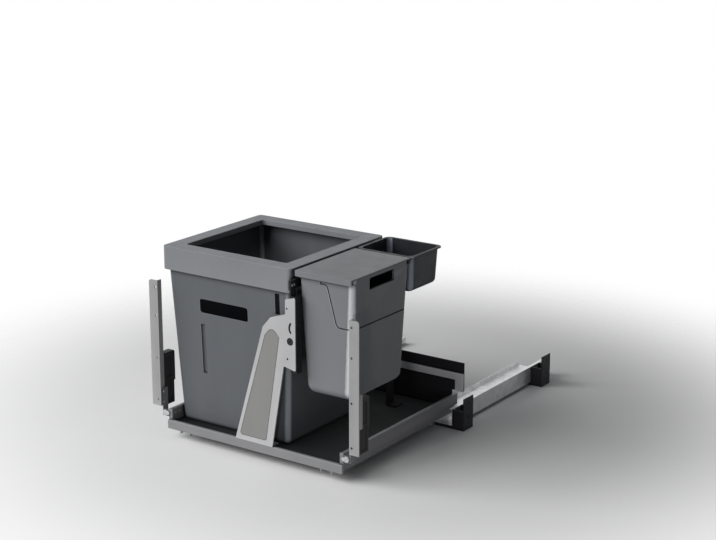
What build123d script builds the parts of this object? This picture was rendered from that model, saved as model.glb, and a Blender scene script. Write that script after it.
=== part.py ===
from build123d import *
import os

# Pull-out waste sorting unit, drawn pulled out of its base cabinet. All sizes are in millimetres.
# +X is to the right, +Y goes into the cabinet, +Z is up from the cabinet floor.

# Cabinet opening and runner length
cabinet_width = 562.0
rail_length = 450.0
rail_stays_in = 54.0
rail_setback = 5.0
half_cabinet = cabinet_width / 2
travel = rail_length - rail_stays_in
overall_depth = travel + rail_setback + rail_length
front = -overall_depth / 2
rail_front = front + travel + rail_setback
rail_rear = rail_front + rail_length
middle_front = rail_front - travel / 2
drawer_front = rail_front - travel

# Tray
tray_side_gap = 47.0
tray_below = 22.0
side_thick = 7.5
side_height = 45.0
side_recess = 19.0
sheet = 1.5
board_thick = 12.0
mat_thick = 2.0
mat_gap = 0.5
front_rail_height = 20.0
front_rail_depth = 7.0
half_tray = half_cabinet - tray_side_gap
tray_inner = half_tray - side_thick
board_half = tray_inner - sheet
board_top = tray_below + board_thick
mat_top = board_top + mat_thick
side_base = tray_below + side_recess
side_top = tray_below + side_height
side_front = front + front_rail_depth
tray_rear = front + rail_length

# Back of the tray
rear_rail_inset = 14.0
rear_rail_thick = 4.0
rear_rail_height = 16.5
rear_rail_top = 119.5
rear_rail_overhang = 22.0
rear_leg_gap = 1.5
rear_leg_rise = 10.0
back_panel_thick = 3.0
back_panel_rise = 24.5
back_panel_top = rear_rail_top + back_panel_rise
rear_rail_half = half_tray + rear_rail_overhang
rear_leg_low = side_top + rear_leg_rise
rear_rail_front = tray_rear - rear_rail_inset
back_panel_front = rear_rail_front + rear_rail_thick

# Ball-bearing runner, lying flat under the tray
runner_inset = 44.0
runner_width = 46.0
runner_height = 13.5
runner_wall = 1.5
ball_radius = 2.0
ball_clear = 0.12
groove_depth = 0.6
cage_wall = 0.8
cage_web = 0.6
cage_length = 190.0
balls_per_row = 6
web_gap = 0.5
inner_web_gap = 0.3
rail_top_gap = 2.1
ball_below_top = 3.4
race_play = 0.1
runner_x = half_tray - runner_inset
rail_base = tray_below - runner_height
race_gap = 2 * (ball_radius - groove_depth) + race_play
middle_half = runner_width / 2 - runner_wall - race_gap
drawer_half = middle_half - runner_wall - race_gap
middle_base = rail_base + runner_wall + 2 * web_gap + cage_web
drawer_flange_base = middle_base + runner_wall + cage_web + 2 * inner_web_gap
rail_top = tray_below - rail_top_gap
ball_z = rail_top - ball_below_top
outer_row = middle_half + race_gap / 2
inner_row = drawer_half + race_gap / 2

# Self-closing unit
closer_gap = 0.4
closer_width = 24.0
closer_rear_inset = 3.0
closer_top_gap = 1.5
closer_wall = 1.2
closer_end_wall = 2.0
closer_lead = 18.1
groove_width = 6.0
groove_floor = 2.5
catch_side_gap = 0.3
catch_base = 2.2
catch_rear_wall = 7.3
catch_lip = 5.0
catch_throw = 40.0
pin_radius = 2.5
pin_drop = 7.8
pin_gap = 0.4
pin_from_rail_rear = 89.0
damper_radius = 2.7
damper_gap = 9.8
rod_radius = 1.0
rod_clear = 0.05
rod_end_gap = 7.8
spring_radius = 3.4
spring_wire = 0.8
spring_length = 110.0
spring_gap = 0.3
closer_inner = runner_x + runner_width / 2 + closer_gap
closer_outer = closer_inner + closer_width
closer_top = tray_below - closer_top_gap
closer_rear = rail_rear - closer_rear_inset
closer_inside_rear = closer_rear - closer_end_wall
groove_x = closer_inner + closer_wall + groove_width / 2
groove_base = rail_base + groove_floor
catch_floor = groove_base + catch_side_gap
pin_closed_y = rail_rear - pin_from_rail_rear
pin_open_y = pin_closed_y - travel
catch_wall_front = pin_closed_y + pin_radius + pin_gap
catch_rear = catch_wall_front + catch_rear_wall
catch_front = pin_closed_y - pin_radius - pin_gap - catch_lip
closer_front = catch_front - catch_throw - closer_lead
damper_front = catch_rear + damper_gap
damper_bore_end = closer_inside_rear - closer_end_wall
damper_z = groove_base + damper_radius

# Rail support and its brackets
support_inner_reach = 25.0
support_lip = 8.0
support_screw_inset = 9.0
support_gap = 2.0
bracket_length = 40.0
bracket_wall = 2.5
bracket_rib = 3.0
bracket_foot_width = 76.0
rear_bracket_inset = 52.0
cabinet_hole_r = 2.6
cabinet_hole_low = 30.0
cabinet_hole_pitch = 32.0
cabinet_hole_margin = 13.0
driver_hole_r = 6.0
runner_screw_r = 2.0
runner_screw_head_r = 3.6
runner_screw_head = 1.2
runner_screw_gap = 1.0
runner_screw_short = 1.0
tray_screw_r = 2.0
tray_screws_per_side = 4
tray_screw_cover = 3.0
runner_screw_x = closer_outer + runner_screw_head_r + runner_screw_gap
support_inner = runner_x - support_inner_reach
support_outer = runner_screw_x + support_screw_inset
bracket_height = cabinet_hole_low + cabinet_hole_pitch + cabinet_hole_margin

# Front strips that the cabinet front bolts to
strip_side_gap = 5.0
strip_width = 24.0
strip_wall = 2.5
strip_flange = 10.5
strip_bottom = 70.0
strip_corner = 6.0
strip_hole_inset = 6.0
strip_hole_margin = 15.0
strip_hole_r = 2.5
upper_pitch = 64.0
middle_pitch = 96.0
lower_pitch = 96.0
tab_rise = 57.0
tab_height = 74.0
rivet_margin = 8.0
strip_rivet_pitch = 24.0
strip_outer = half_cabinet - strip_side_gap
strip_inner = strip_outer - strip_width
strip_hole_x = strip_inner + strip_hole_inset
strip_hole_low = strip_bottom + strip_hole_margin
strip_top = strip_hole_low + lower_pitch + middle_pitch + upper_pitch + strip_hole_margin
strip_rivet_low = strip_bottom + rivet_margin
tab_bottom = strip_bottom + tab_rise

# Brackets behind the strips
block_height = 120.0
block_width = 16.0
block_depth = 37.0
block_notch = 4.0
block_notch_height = 51.0
block_chamfer = 5.0
block_recess = 1.6
block_recess_margin = 6.0
plate_wall = 2.0
plate_low_gap = 7.0
plate_top_gap = 4.0
plate_tongue = 49.0
plate_leg = 16.0
tongue_screw_first = 16.0
tongue_screw_pitch = 14.0
tongue_screw_r = 1.8
tongue_screw_head_r = 2.8
tongue_screw_head = 0.8
rivet_r = 1.5
rivet_head_r = 2.6
rivet_head = 0.8
lever_radius = 6.5
lever_arm_width = 8.6
lever_thick = 3.0
lever_gap = 0.3
lever_side_gap = 1.2
lever_pin_r = 2.0
lever_rise = 8.0
pin_clear = 0.05
tongue_x = tray_inner + sheet
block_bottom = side_top
block_top = block_bottom + block_height
block_outer = strip_inner + block_width
plate_bottom = side_base + plate_low_gap
plate_top = side_top - plate_top_gap
plate_rise = strip_rivet_low + strip_rivet_pitch + rivet_margin
support_height = plate_bottom - support_gap
lever_x = (half_tray + strip_inner) / 2
lever_z = plate_bottom + lever_rise
lever_arm = lever_x - lever_arm_width / 2 - tongue_x - plate_wall - lever_side_gap

# Containers
bins_side_gap = 3.0
bins_front_gap = 16.0
bins_depth = 342.0
bins_top = 432.0
bins_gap = 10.0
lid_width = 144.0
lid_depth = 216.0
bins_half = strip_inner - bins_side_gap
bins_front = front + bins_front_gap
bins_rear = bins_front + bins_depth

# Bag collar on the big bin
collar_height = 52.0
collar_wall = 3.0
collar_corner = 9.0
collar_border = 36.5
collar_lip = 12.0
collar_lip_wall = 2.5
opening_corner = 6.0
collar_width = 2 * bins_half - bins_gap - lid_width
collar_right = collar_width - bins_half
collar_x = collar_right - collar_width / 2
collar_y = bins_front + bins_depth / 2
collar_under = bins_top - collar_wall

# Big bin
bin_inset_top = 5.0
bin_side_taper = 21.5
bin_front_taper = 17.0
bin_wall = 2.8
bin_floor = 3.0
bin_corner = 13.0
bin_foot_radius = 10.0
rim_gap = 0.4
rim_thick = 3.5
grip_from_side = 93.0
grip_width = 130.0
grip_height = 31.0
grip_drop = 106.0
grip_corner = 6.0
flute_from_side = 98.5
flute_width = 11.0
flute_drop = 163.0
flute_height = 112.0
flute_depth = 3.5
slit_from_side = 41.0
slit_width = 12.0
slit_drop = 60.0
slit_height = 46.0

# Caddy: holder that hangs, bucket nested in it, and lid
lid_skirt = 12.0
lid_wall = 2.5
lid_corner = 4.0
holder_inset_top = 6.0
holder_inset_bottom = 13.0
holder_right_inset = 2.5
holder_rear_inset = 4.0
holder_wall = 2.5
holder_corner_top = 13.0
holder_corner_bottom = 24.0
holder_height = 248.0
holder_foot_radius = 20.0
bucket_gap = 0.6
bucket_wall = 2.2
bucket_flange = 3.0
bucket_flange_out = 2.0
bucket_upstand_in = 2.0
dip_lip_left = 12.0
dip_lip_drop = 6.0
dip_shoulder_right = 4.0
dip_shoulder_radius = 9.0
dip_foot_right = 27.0
dip_drop = 93.0
dip_radius = 12.0
dip_gap = 2.8
hand_behind_middle = 1.0
hand_length = 90.0
hand_height = 25.0
hand_above_rim = 6.0
hand_corner = 4.0
lid_left = collar_right + bins_gap
lid_x = (lid_left + bins_half) / 2
lid_y = bins_front + lid_depth / 2
holder_rim = bins_top - lid_skirt - bucket_flange
holder_bottom = holder_rim - holder_height
dip_z = holder_rim - dip_drop

# Utensil tub
tub_gap = 2.0
tub_height = 81.0
tub_wall = 2.5
tub_rim = 5.0
tub_rim_thick = 3.0
tub_draft = 4.0
tub_corner = 15.0
tub_foot_step = 2.0
tub_depth = bins_depth - lid_depth - tub_gap
tub_bottom = bins_top - tub_height
tub_foot_radius = tub_corner - tub_foot_step
tub_y = bins_rear - tub_depth / 2

# Hanger for the caddy and the tub
bar_inset = 5.0
bar_drop = 5.0
bar_thick = 3.0
bar_height = 20.0
bar_leg_width = 27.0
bar_rear_inset = 62.0
post_wall = 2.5
post_width = 16.0
post_gap = 1.4
post_foot_drop = 196.0
post_head_drop = 32.0
post_rivet_first = 4.5
post_rivet_pitch = 7.5
arm_thick = 3.0
bar_x = lid_left - bar_inset
bar_right = bar_x + bar_thick
bar_top = holder_rim - bar_drop
bar_front = front + arm_thick
bar_rear = tray_rear - bar_rear_inset
post_right = bar_right + post_width
post_rear = bins_front + holder_inset_top - post_gap
post_bottom = bar_top - post_foot_drop
post_top = bar_top - post_head_drop

# Hooks on the bar
hook_clear = 0.3
hook_wall = 2.7
hook_top = 3.5
hook_drop = 12.0
hook_inner_drop = 16.0
holder_hook_front = 40.0
holder_hook_length = 140.0
tub_hook_inset = 22.0

# Support arm in the middle of the front. Its x values are from the hanger bar, its z values from the
# bar's top, and only its foot and the foot of the inlaid cover are measured from the front rail.
arm_base_left = -143.5
arm_base_right = -45.5
arm_foot_height = 3.0
arm_foot_clear = 3.8
arm_tab_left = 6.0
arm_tab_right = 8.0
arm_shoulder_left = -66.0
arm_shoulder_left_z = -108.0
arm_shoulder_x = -46.0
arm_shoulder_z = -85.0
arm_plate_left = -7.3
arm_plate_right = 18.0
arm_plate_top = -33.0
arm_plate_slope = 7.0
arm_plate_bottom = -191.0
arm_plate_foot_x = -12.6
arm_neck_z = -72.0
arm_corner = 3.0
arm_hole_x = -2.5
arm_hole_r = 2.2
arm_hole_low = -167.0
arm_hole_pitch = 108.0
slot_x = 6.0
slot_low = -109.0
slot_high = -90.0
slot_width = 4.5
slot_bow = 3.0
cam_right = 4.5
cam_low = -128.4
cam_radius = 8.0
cam_lobe_radius = 3.6
cam_clear = 0.1
cam_front = 1.8
cam_flange_out = 1.1
cam_flange_gap = 0.1
cam_socket_r = 2.6
cam_socket_depth = 1.2
inlay_depth = 1.2
inlay_gap = 0.8
inlay_top_x = -42.0
inlay_top_z = -105.0
inlay_right_x = -24.0
inlay_right_z = -125.0
inlay_foot_left = -131.0
inlay_foot_right = -61.5
inlay_foot_rise = 12.0
inlay_corner = 5.0
inlay_top_corner = 12.0
arm_screw_r = 2.0
arm_screw_head_r = 3.8
arm_screw_head = 2.0
arm_screw_deep = 7.0
arm_screw_pitch = 28.0
arm_foot_z = tray_below + front_rail_height
arm_foot_rear = bins_front + bin_inset_top + bin_front_taper - arm_foot_clear
arm_tab_rear = side_front + arm_foot_height
arm_foot_top = mat_top + arm_foot_height
arm_screw_y = (arm_tab_rear + arm_foot_rear) / 2
cam_x = bar_x + cam_right
cam_z = bar_top + cam_low


def block(x0, x1, y0, y1, z0, z1):
    """A box between two opposite corners."""
    centre = Pos((x0 + x1) / 2, (y0 + y1) / 2, (z0 + z1) / 2)
    return centre * Box(x1 - x0, y1 - y0, z1 - z0)


def rod_x(x0, x1, y, z, radius):
    """A round bar along X."""
    return Pos((x0 + x1) / 2, y, z) * Rot(0, 90, 0) * Cylinder(radius, x1 - x0)


def rod_y(x, y0, y1, z, radius):
    """A round bar along Y."""
    return Pos(x, (y0 + y1) / 2, z) * Rot(90, 0, 0) * Cylinder(radius, y1 - y0)


def rod_z(x, y, z0, z1, radius):
    """A round bar along Z."""
    return Pos(x, y, (z0 + z1) / 2) * Cylinder(radius, z1 - z0)


def upright(x, y, width, depth, corner, z0, z1):
    """A prism with rounded upright edges."""
    outline = Pos(x, y, z0) * RectangleRounded(width, depth, corner)
    return extrude(outline, amount=z1 - z0)


def front_plate(outline, y0, thick):
    """A flat plate that faces the front, from an outline drawn in X and Z."""
    return Pos(0, y0 + thick, 0) * extrude(Plane.XZ * outline, amount=thick)


def round_foot(body, radius):
    """Round the edges of a body's underside."""
    return fillet(body.faces().sort_by(Axis.Z)[0].edges(), radius)


def tapered(x, y, top, bottom, corner, z0, z1):
    """A tapered body with rounded upright edges; top and bottom are width and depth."""
    low = Pos(x, y, z0) * RectangleRounded(bottom[0], bottom[1], corner)
    high = Pos(x, y, z1) * RectangleRounded(top[0], top[1], corner)
    return loft([low, high], ruled=True)


def shrink(size, amount):
    """Take the same amount off each side of a width and depth."""
    return (size[0] - 2 * amount, size[1] - 2 * amount)


def size_at(top, bottom, z0, z1, z):
    """Width and depth of a tapered body at a height."""
    share = (z - z0) / (z1 - z0)
    width = bottom[0] + (top[0] - bottom[0]) * share
    depth = bottom[1] + (top[1] - bottom[1]) * share
    return (width, depth)


def save(name, shape):
    export_step(shape, "parts/" + name + ".step")


def save_pair(name, right):
    save(name + "_right", right)
    save(name + "_left", mirror(right, about=Plane.YZ))


def both(right):
    return Compound(children=[right, mirror(right, about=Plane.YZ)])


# Runner members


def row_grooves(row, y0, length, radius):
    near = rod_y(runner_x - row, y0, y0 + length, ball_z, radius)
    far = rod_y(runner_x + row, y0, y0 + length, ball_z, radius)
    return near + far


def tray_channel(half, base, top, y0, length):
    """A channel open at the top."""
    outside = block(runner_x - half, runner_x + half, y0, y0 + length, base, top)
    inner = half - runner_wall
    inside = block(runner_x - inner, runner_x + inner, y0, y0 + length, base + runner_wall, top)
    return outside - inside


def cabinet_rail():
    channel = tray_channel(runner_width / 2, rail_base, rail_top, rail_front, rail_length)
    return channel - row_grooves(outer_row, rail_front, rail_length, ball_radius + ball_clear)


def middle_rail():
    channel = tray_channel(middle_half, middle_base, rail_top, middle_front, rail_length)
    channel -= row_grooves(outer_row, middle_front, rail_length, ball_radius + ball_clear)
    return channel - row_grooves(inner_row, middle_front, rail_length, ball_radius + ball_clear)


def drawer_rail():
    y0 = drawer_front
    y1 = drawer_front + rail_length
    outside = block(runner_x - drawer_half, runner_x + drawer_half, y0, y1, drawer_flange_base, tray_below)
    inner = drawer_half - runner_wall
    inside = block(runner_x - inner, runner_x + inner, y0, y1, drawer_flange_base, tray_below - runner_wall)
    rail = outside - inside
    rail -= row_grooves(inner_row, y0, rail_length, ball_radius + ball_clear)
    for y in tray_screw_places():
        rail -= rod_z(runner_x, y, tray_below - runner_wall, tray_below, tray_screw_r)
    return rail


def ball_places(centre):
    pitch = cage_length / balls_per_row
    return [centre + (i - (balls_per_row - 1) / 2) * pitch for i in range(balls_per_row)]


def ball_cage(row, web_base, centre):
    y0 = centre - cage_length / 2
    y1 = centre + cage_length / 2
    half = row + cage_wall / 2
    top = rail_top - web_gap
    outside = block(runner_x - half, runner_x + half, y0, y1, web_base, top)
    inner = row - cage_wall / 2
    cage = outside - block(runner_x - inner, runner_x + inner, y0, y1, web_base + cage_web, top)
    for y in ball_places(centre):
        cage -= rod_x(runner_x - half, runner_x + half, y, ball_z, ball_radius + ball_clear)
    return cage


def balls(row, centre):
    placed = []
    for y in ball_places(centre):
        for x in (runner_x - row, runner_x + row):
            placed.append(Pos(x, y, ball_z) * Sphere(ball_radius))
    return placed


def outer_cage_centre():
    return rail_front + (rail_length - travel / 2) / 2


def inner_cage_centre():
    return rail_front + rail_length / 2 - travel * 3 / 4


# What fastens the runner to the cabinet


def bracket_starts():
    return (rail_front, rail_rear - rear_bracket_inset - bracket_length)


def cabinet_hole_heights():
    return (cabinet_hole_low, cabinet_hole_low + cabinet_hole_pitch)


def rail_support():
    web_base = rail_base - sheet
    lip_x = support_outer - support_lip
    lip_z = support_height - sheet
    support = block(support_inner, support_outer, rail_front, rail_rear, web_base, rail_base)
    support += block(support_outer - sheet, support_outer, rail_front, rail_rear, web_base, support_height)
    support += block(lip_x, support_outer, rail_front, rail_rear, lip_z, support_height)
    for y in bracket_starts():
        support -= rod_z(runner_screw_x, y + bracket_length / 2, web_base, rail_base, runner_screw_r)
        support -= rod_x(support_outer - sheet, support_outer, y + bracket_length / 2,
                         cabinet_hole_low, driver_hole_r)
    return support


def runner_bracket(y0):
    y1 = y0 + bracket_length
    foot_top = rail_base - sheet
    middle = (y0 + y1) / 2
    bracket = block(half_cabinet - bracket_wall, half_cabinet, y0, y1, 0, bracket_height)
    bracket += block(half_cabinet - bracket_foot_width, half_cabinet, y0, y1, 0, foot_top)
    for y in (y0, y1 - bracket_rib):
        bracket += block(support_outer, half_cabinet, y, y + bracket_rib, 0, support_height)
    for z in cabinet_hole_heights():
        bracket -= rod_x(half_cabinet - bracket_wall, half_cabinet, middle, z, cabinet_hole_r)
    return bracket - rod_z(runner_screw_x, middle, 0, foot_top, runner_screw_r)


def runner_screw(y0):
    middle = y0 + bracket_length / 2
    shank = rod_z(runner_screw_x, middle, runner_screw_short, rail_base, runner_screw_r)
    head_top = rail_base + runner_screw_head
    return shank + rod_z(runner_screw_x, middle, rail_base, head_top, runner_screw_head_r)


def runner_screws():
    screws = []
    for y in bracket_starts():
        screw = runner_screw(y)
        screws.append(screw)
        screws.append(mirror(screw, about=Plane.YZ))
    return Compound(children=screws)


# Self-closing unit


def spring_place():
    """X and Z of the spring's axis."""
    x = groove_x + groove_width / 2 + closer_wall + spring_radius + spring_gap
    return (x, rail_base + closer_wall + spring_radius + spring_gap)


def closer_housing():
    housing = block(closer_inner, closer_outer, closer_front, closer_rear, rail_base, closer_top)
    housing -= block(groove_x - groove_width / 2, groove_x + groove_width / 2,
                     closer_front, closer_inside_rear, groove_base, closer_top)
    x, z = spring_place()
    spring_front = closer_inside_rear - spring_length - spring_gap
    return housing - rod_y(x, spring_front, closer_inside_rear, z, spring_radius + spring_gap)


def closer_spring():
    x, z = spring_place()
    spring_front = closer_inside_rear - spring_length
    outside = rod_y(x, spring_front, closer_inside_rear, z, spring_radius)
    return outside - rod_y(x, spring_front, closer_inside_rear, z, spring_radius - spring_wire)


def closer_damper():
    body = rod_y(groove_x, damper_front, closer_inside_rear, damper_z, damper_radius)
    return body - rod_y(groove_x, damper_front, damper_bore_end, damper_z, rod_radius + rod_clear)


def closer_catch():
    half = groove_width / 2 - catch_side_gap
    x0 = groove_x - half
    x1 = groove_x + half
    catch = block(x0, x1, catch_front, catch_rear, catch_floor, catch_floor + catch_base)
    return catch + block(x0, x1, catch_wall_front, catch_rear, catch_floor, closer_top - catch_side_gap)


def damper_rod():
    return rod_y(groove_x, catch_rear, damper_bore_end - rod_end_gap, damper_z, rod_radius)


def closer_pin():
    return rod_z(groove_x, pin_open_y, tray_below - pin_drop, tray_below, pin_radius)


# Tray


def side_wall():
    y0 = side_front
    y1 = tray_rear
    wall = block(tray_inner, half_tray, y0, y1, side_base, side_top)
    wall = fillet(wall.edges().filter_by(Axis.Y).group_by(Axis.Z)[-1], sheet)
    wall -= block(tongue_x, half_tray - sheet, y0, y1, side_base + sheet, side_top - sheet)
    wall += block(board_half, tray_inner, y0, y1, tray_below, side_top - sheet)
    for y in tongue_screw_places():
        wall -= rod_x(board_half, tongue_x, y, lever_z, tongue_screw_r)
        wall -= rod_x(board_half, board_half + tongue_screw_head, y, lever_z, tongue_screw_head_r)
    return wall


def front_rail():
    rail = block(-half_tray, half_tray, front, side_front, tray_below, arm_foot_z)
    rail = fillet(rail.edges().filter_by(Axis.X).group_by(Axis.Y)[0], sheet)
    hollow = block(-half_tray + sheet, half_tray - sheet, front + sheet, side_front - sheet,
                   tray_below + sheet, arm_foot_z - sheet)
    return rail - hollow


def tray_screw_places():
    step = rail_length / tray_screws_per_side
    return [drawer_front + step * (i + 1 / 2) for i in range(tray_screws_per_side)]


def tray_board():
    board = block(-board_half, board_half, side_front, tray_rear, tray_below, board_top)
    for side in (-1, 1):
        for y in tray_screw_places():
            board -= rod_z(side * runner_x, y, tray_below, board_top - tray_screw_cover, tray_screw_r)
    for x in arm_screw_places():
        board -= rod_z(x, arm_screw_y, board_top - arm_screw_deep, board_top, arm_screw_r)
    return board


def tray_screw(x, y):
    shank = rod_z(x, y, tray_below - runner_wall, board_top - tray_screw_cover, tray_screw_r)
    return shank + rod_z(x, y, tray_below - runner_wall - runner_screw_head, tray_below - runner_wall,
                         runner_screw_head_r)


def tray_screws():
    screws = []
    for side in (-1, 1):
        for y in tray_screw_places():
            screws.append(tray_screw(side * runner_x, y))
    return Compound(children=screws)


def floor_mat():
    half = board_half - mat_gap
    mat = block(-half, half, side_front + mat_gap, rear_rail_front - mat_gap, board_top, mat_top)
    for x in arm_screw_places():
        mat -= rod_z(x, arm_screw_y, board_top, mat_top, arm_screw_r)
    return mat


def back_panel():
    y0 = back_panel_front
    y1 = y0 + back_panel_thick
    panel = block(-board_half, board_half, y0, y1, board_top, rear_leg_low)
    return panel + block(-rear_rail_half, rear_rail_half, y0, y1, rear_leg_low, back_panel_top)


def rear_rail():
    leg_inner = half_tray + rear_leg_gap
    low = rear_rail_top - rear_rail_height
    y0 = rear_rail_front
    y1 = back_panel_front
    rail = block(-rear_rail_half, rear_rail_half, y0, y1, low, rear_rail_top)
    rail += block(leg_inner, rear_rail_half, y0, y1, rear_leg_low, low)
    return rail + block(-rear_rail_half, -leg_inner, y0, y1, rear_leg_low, low)


# Front strips and their brackets


def strip_hole_heights():
    second = strip_hole_low + lower_pitch
    third = second + middle_pitch
    return (strip_hole_low, second, third, third + upper_pitch)


def front_strip():
    y1 = front + strip_wall
    flange_rear = y1 + strip_flange
    plate = block(strip_inner, strip_outer, front, y1, strip_bottom, strip_top)
    outer_top = plate.edges().filter_by(Axis.Y).group_by(Axis.Z)[-1].sort_by(Axis.X)[-1]
    strip = fillet(outer_top, strip_corner)
    strip += block(strip_inner, strip_inner + strip_wall, y1, flange_rear, strip_bottom, strip_top)
    tab_top = tab_bottom + tab_height
    strip += block(strip_outer - strip_wall, strip_outer, y1, flange_rear, tab_bottom, tab_top)
    for z in strip_hole_heights():
        strip -= rod_y(strip_hole_x, front, y1, z, strip_hole_r)
    for z in strip_rivet_heights():
        strip -= rod_x(strip_inner, strip_inner + strip_wall, strip_rivet_y(), z, rivet_r)
    return strip


def strip_rivet_heights():
    return (strip_rivet_low, strip_rivet_low + strip_rivet_pitch)


def strip_rivet_y():
    return front + strip_wall + strip_flange / 2


def bracket_block():
    y0 = front + strip_wall + strip_flange
    y1 = y0 + block_depth
    body = block(strip_inner, block_outer, y0, y1, block_bottom, block_top)
    notch_top = block_bottom + block_notch_height
    body -= block(strip_inner, block_outer, y1 - block_notch, y1, block_bottom, notch_top)
    front_top = body.edges().filter_by(Axis.X).group_by(Axis.Z)[-1].sort_by(Axis.Y)[0]
    body = chamfer(front_top, block_chamfer)
    rear_top = body.edges().filter_by(Axis.X).group_by(Axis.Z)[-1].sort_by(Axis.Y)[-1]
    body = fillet(rear_top, block_chamfer)
    for x in (strip_inner, block_outer - block_recess):
        for z0, z1 in block_recesses():
            body -= block(x, x + block_recess, y0 + block_recess_margin,
                          y1 - block_notch - block_recess_margin, z0, z1)
    return body


def block_recesses():
    """Two shallow pockets in each side of the block, one above the other."""
    middle = block_bottom + block_height / 2
    half = block_recess_margin / 2
    low = block_bottom + block_recess_margin
    high = block_top - block_recess_margin - block_chamfer
    return ((low, middle - half), (middle + half, high))


def front_bracket():
    y1 = side_front
    y0 = y1 - plate_wall
    plate = block(tongue_x, strip_inner, y0, y1, plate_bottom, plate_top)
    plate += block(board_half, half_tray, y0, y1, arm_foot_z, side_top)
    plate += block(strip_inner - plate_wall, strip_inner, y0, y0 + plate_leg, plate_bottom, plate_rise)
    plate += block(tongue_x, tongue_x + plate_wall, y0, y0 + plate_tongue, plate_bottom, plate_top)
    for z in strip_rivet_heights():
        plate -= rod_x(strip_inner - plate_wall, strip_inner, strip_rivet_y(), z, rivet_r)
    for y in tongue_screw_places():
        plate -= rod_x(tongue_x, tongue_x + plate_wall, y, lever_z, tongue_screw_r)
    return plate - rod_y(lever_x, y0, y1, lever_z, lever_pin_r + pin_clear)


def tongue_screw_places():
    first = front + tongue_screw_first
    return (first, first + tongue_screw_pitch)


def tongue_screws():
    screws = []
    for y in tongue_screw_places():
        screw = rod_x(board_half, tongue_x + plate_wall, y, lever_z, tongue_screw_r)
        screw += rod_x(board_half, board_half + tongue_screw_head, y, lever_z, tongue_screw_head_r)
        screws.append(screw)
        screws.append(mirror(screw, about=Plane.YZ))
    return Compound(children=screws)


def bracket_rivet(z):
    x0 = strip_inner - plate_wall
    x1 = strip_inner + strip_wall
    rivet = rod_x(x0, x1, strip_rivet_y(), z, rivet_r)
    rivet += rod_x(x0 - rivet_head, x0, strip_rivet_y(), z, rivet_head_r)
    return rivet + rod_x(x1, x1 + rivet_head, strip_rivet_y(), z, rivet_head_r)


def bracket_rivets():
    rivets = []
    for z in strip_rivet_heights():
        rivet = bracket_rivet(z)
        rivets.append(rivet)
        rivets.append(mirror(rivet, about=Plane.YZ))
    return Compound(children=rivets)


def lock_lever():
    y1 = side_front - plate_wall - lever_gap
    y0 = y1 - lever_thick
    arm_half = lever_arm_width / 2
    outline = Pos(lever_x, lever_z) * Circle(lever_radius)
    outline += Pos(lever_x - lever_arm / 2, lever_z) * Rectangle(lever_arm, lever_arm_width)
    outline += Pos(lever_x - lever_arm, lever_z) * Circle(arm_half)
    return front_plate(outline, y0, lever_thick) + rod_y(lever_x, y1, side_front, lever_z, lever_pin_r)


# Support arm


def arm_outline():
    foot = arm_foot_z - bar_top
    points = [
        (arm_base_left, foot),
        (arm_base_right, foot),
        (arm_plate_foot_x, arm_plate_bottom + arm_plate_slope),
        (arm_plate_right, arm_plate_bottom),
        (arm_plate_right, arm_plate_top),
        (arm_plate_left, arm_plate_top - arm_plate_slope),
        (arm_plate_left, arm_neck_z),
        (arm_shoulder_x, arm_shoulder_z),
        (arm_shoulder_left, arm_shoulder_left_z),
    ]
    face = make_face(Polyline(*points, close=True))
    return fillet(face.vertices().filter_by(lambda v: v.Y > foot + arm_corner), arm_corner)


def inlay_outline(grow):
    """The inlaid cover's outline, a long drop that widens to the foot."""
    foot = arm_foot_z + inlay_foot_rise - bar_top
    points = [
        (inlay_foot_left, foot),
        (inlay_foot_right, foot),
        (inlay_right_x, inlay_right_z),
        (inlay_top_x, inlay_top_z),
        (inlay_top_x - (inlay_right_x - inlay_top_x), inlay_right_z),
    ]
    face = make_face(Polyline(*points, close=True))
    face = fillet(face.vertices().sort_by(Axis.Y)[:-1], inlay_corner)
    face = fillet(face.vertices().sort_by(Axis.Y)[-1], inlay_top_corner)
    return offset(face, grow)


def slot_outline():
    low = (slot_x, slot_low)
    high = (slot_x, slot_high)
    middle = (slot_x - slot_bow, (slot_low + slot_high) / 2)
    return SlotArc(ThreePointArc(low, middle, high), slot_width)


def at_bar(outline):
    """Set an outline of the arm against the bar's front top corner."""
    return Pos(bar_x, bar_top) * outline


def arm_screw_places():
    middle = bar_x + (arm_base_left + arm_base_right) / 2
    return (middle - arm_screw_pitch, middle, middle + arm_screw_pitch)


def support_arm():
    arm = front_plate(at_bar(arm_outline()), front, arm_thick)
    left = bar_x + arm_base_left + arm_tab_left
    right = bar_x + arm_base_right - arm_tab_right
    tab_top = arm_foot_z + arm_foot_height
    arm += block(left, right, front, arm_tab_rear, arm_foot_z, tab_top)
    arm += block(left, right, side_front, arm_tab_rear, mat_top, tab_top)
    arm += block(left, right, side_front, arm_foot_rear, mat_top, arm_foot_top)
    arm -= front_plate(at_bar(inlay_outline(inlay_gap)), front, inlay_depth)
    arm -= front_plate(at_bar(slot_outline()), front, arm_thick)
    arm -= rod_y(cam_x, front, front + arm_thick, cam_z, cam_radius + cam_clear)
    flange_hole = cam_radius + cam_flange_out + cam_clear
    arm -= rod_y(cam_x, front + cam_front, front + arm_thick, cam_z, flange_hole)
    for drop in (arm_hole_low, arm_hole_low + arm_hole_pitch):
        arm -= rod_y(bar_x + arm_hole_x, front, front + arm_thick, bar_top + drop, arm_hole_r)
    for x in arm_screw_places():
        arm -= rod_z(x, arm_screw_y, mat_top, arm_foot_top, arm_screw_r)
    return arm


def arm_inlay():
    return front_plate(at_bar(inlay_outline(0)), front, inlay_depth)


def arm_screws():
    head_top = arm_foot_top + arm_screw_head
    screws = []
    for x in arm_screw_places():
        screw = rod_z(x, arm_screw_y, board_top - arm_screw_deep, arm_foot_top, arm_screw_r)
        screws.append(screw + rod_z(x, arm_screw_y, arm_foot_top, head_top, arm_screw_head_r))
    return Compound(children=screws)


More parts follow.
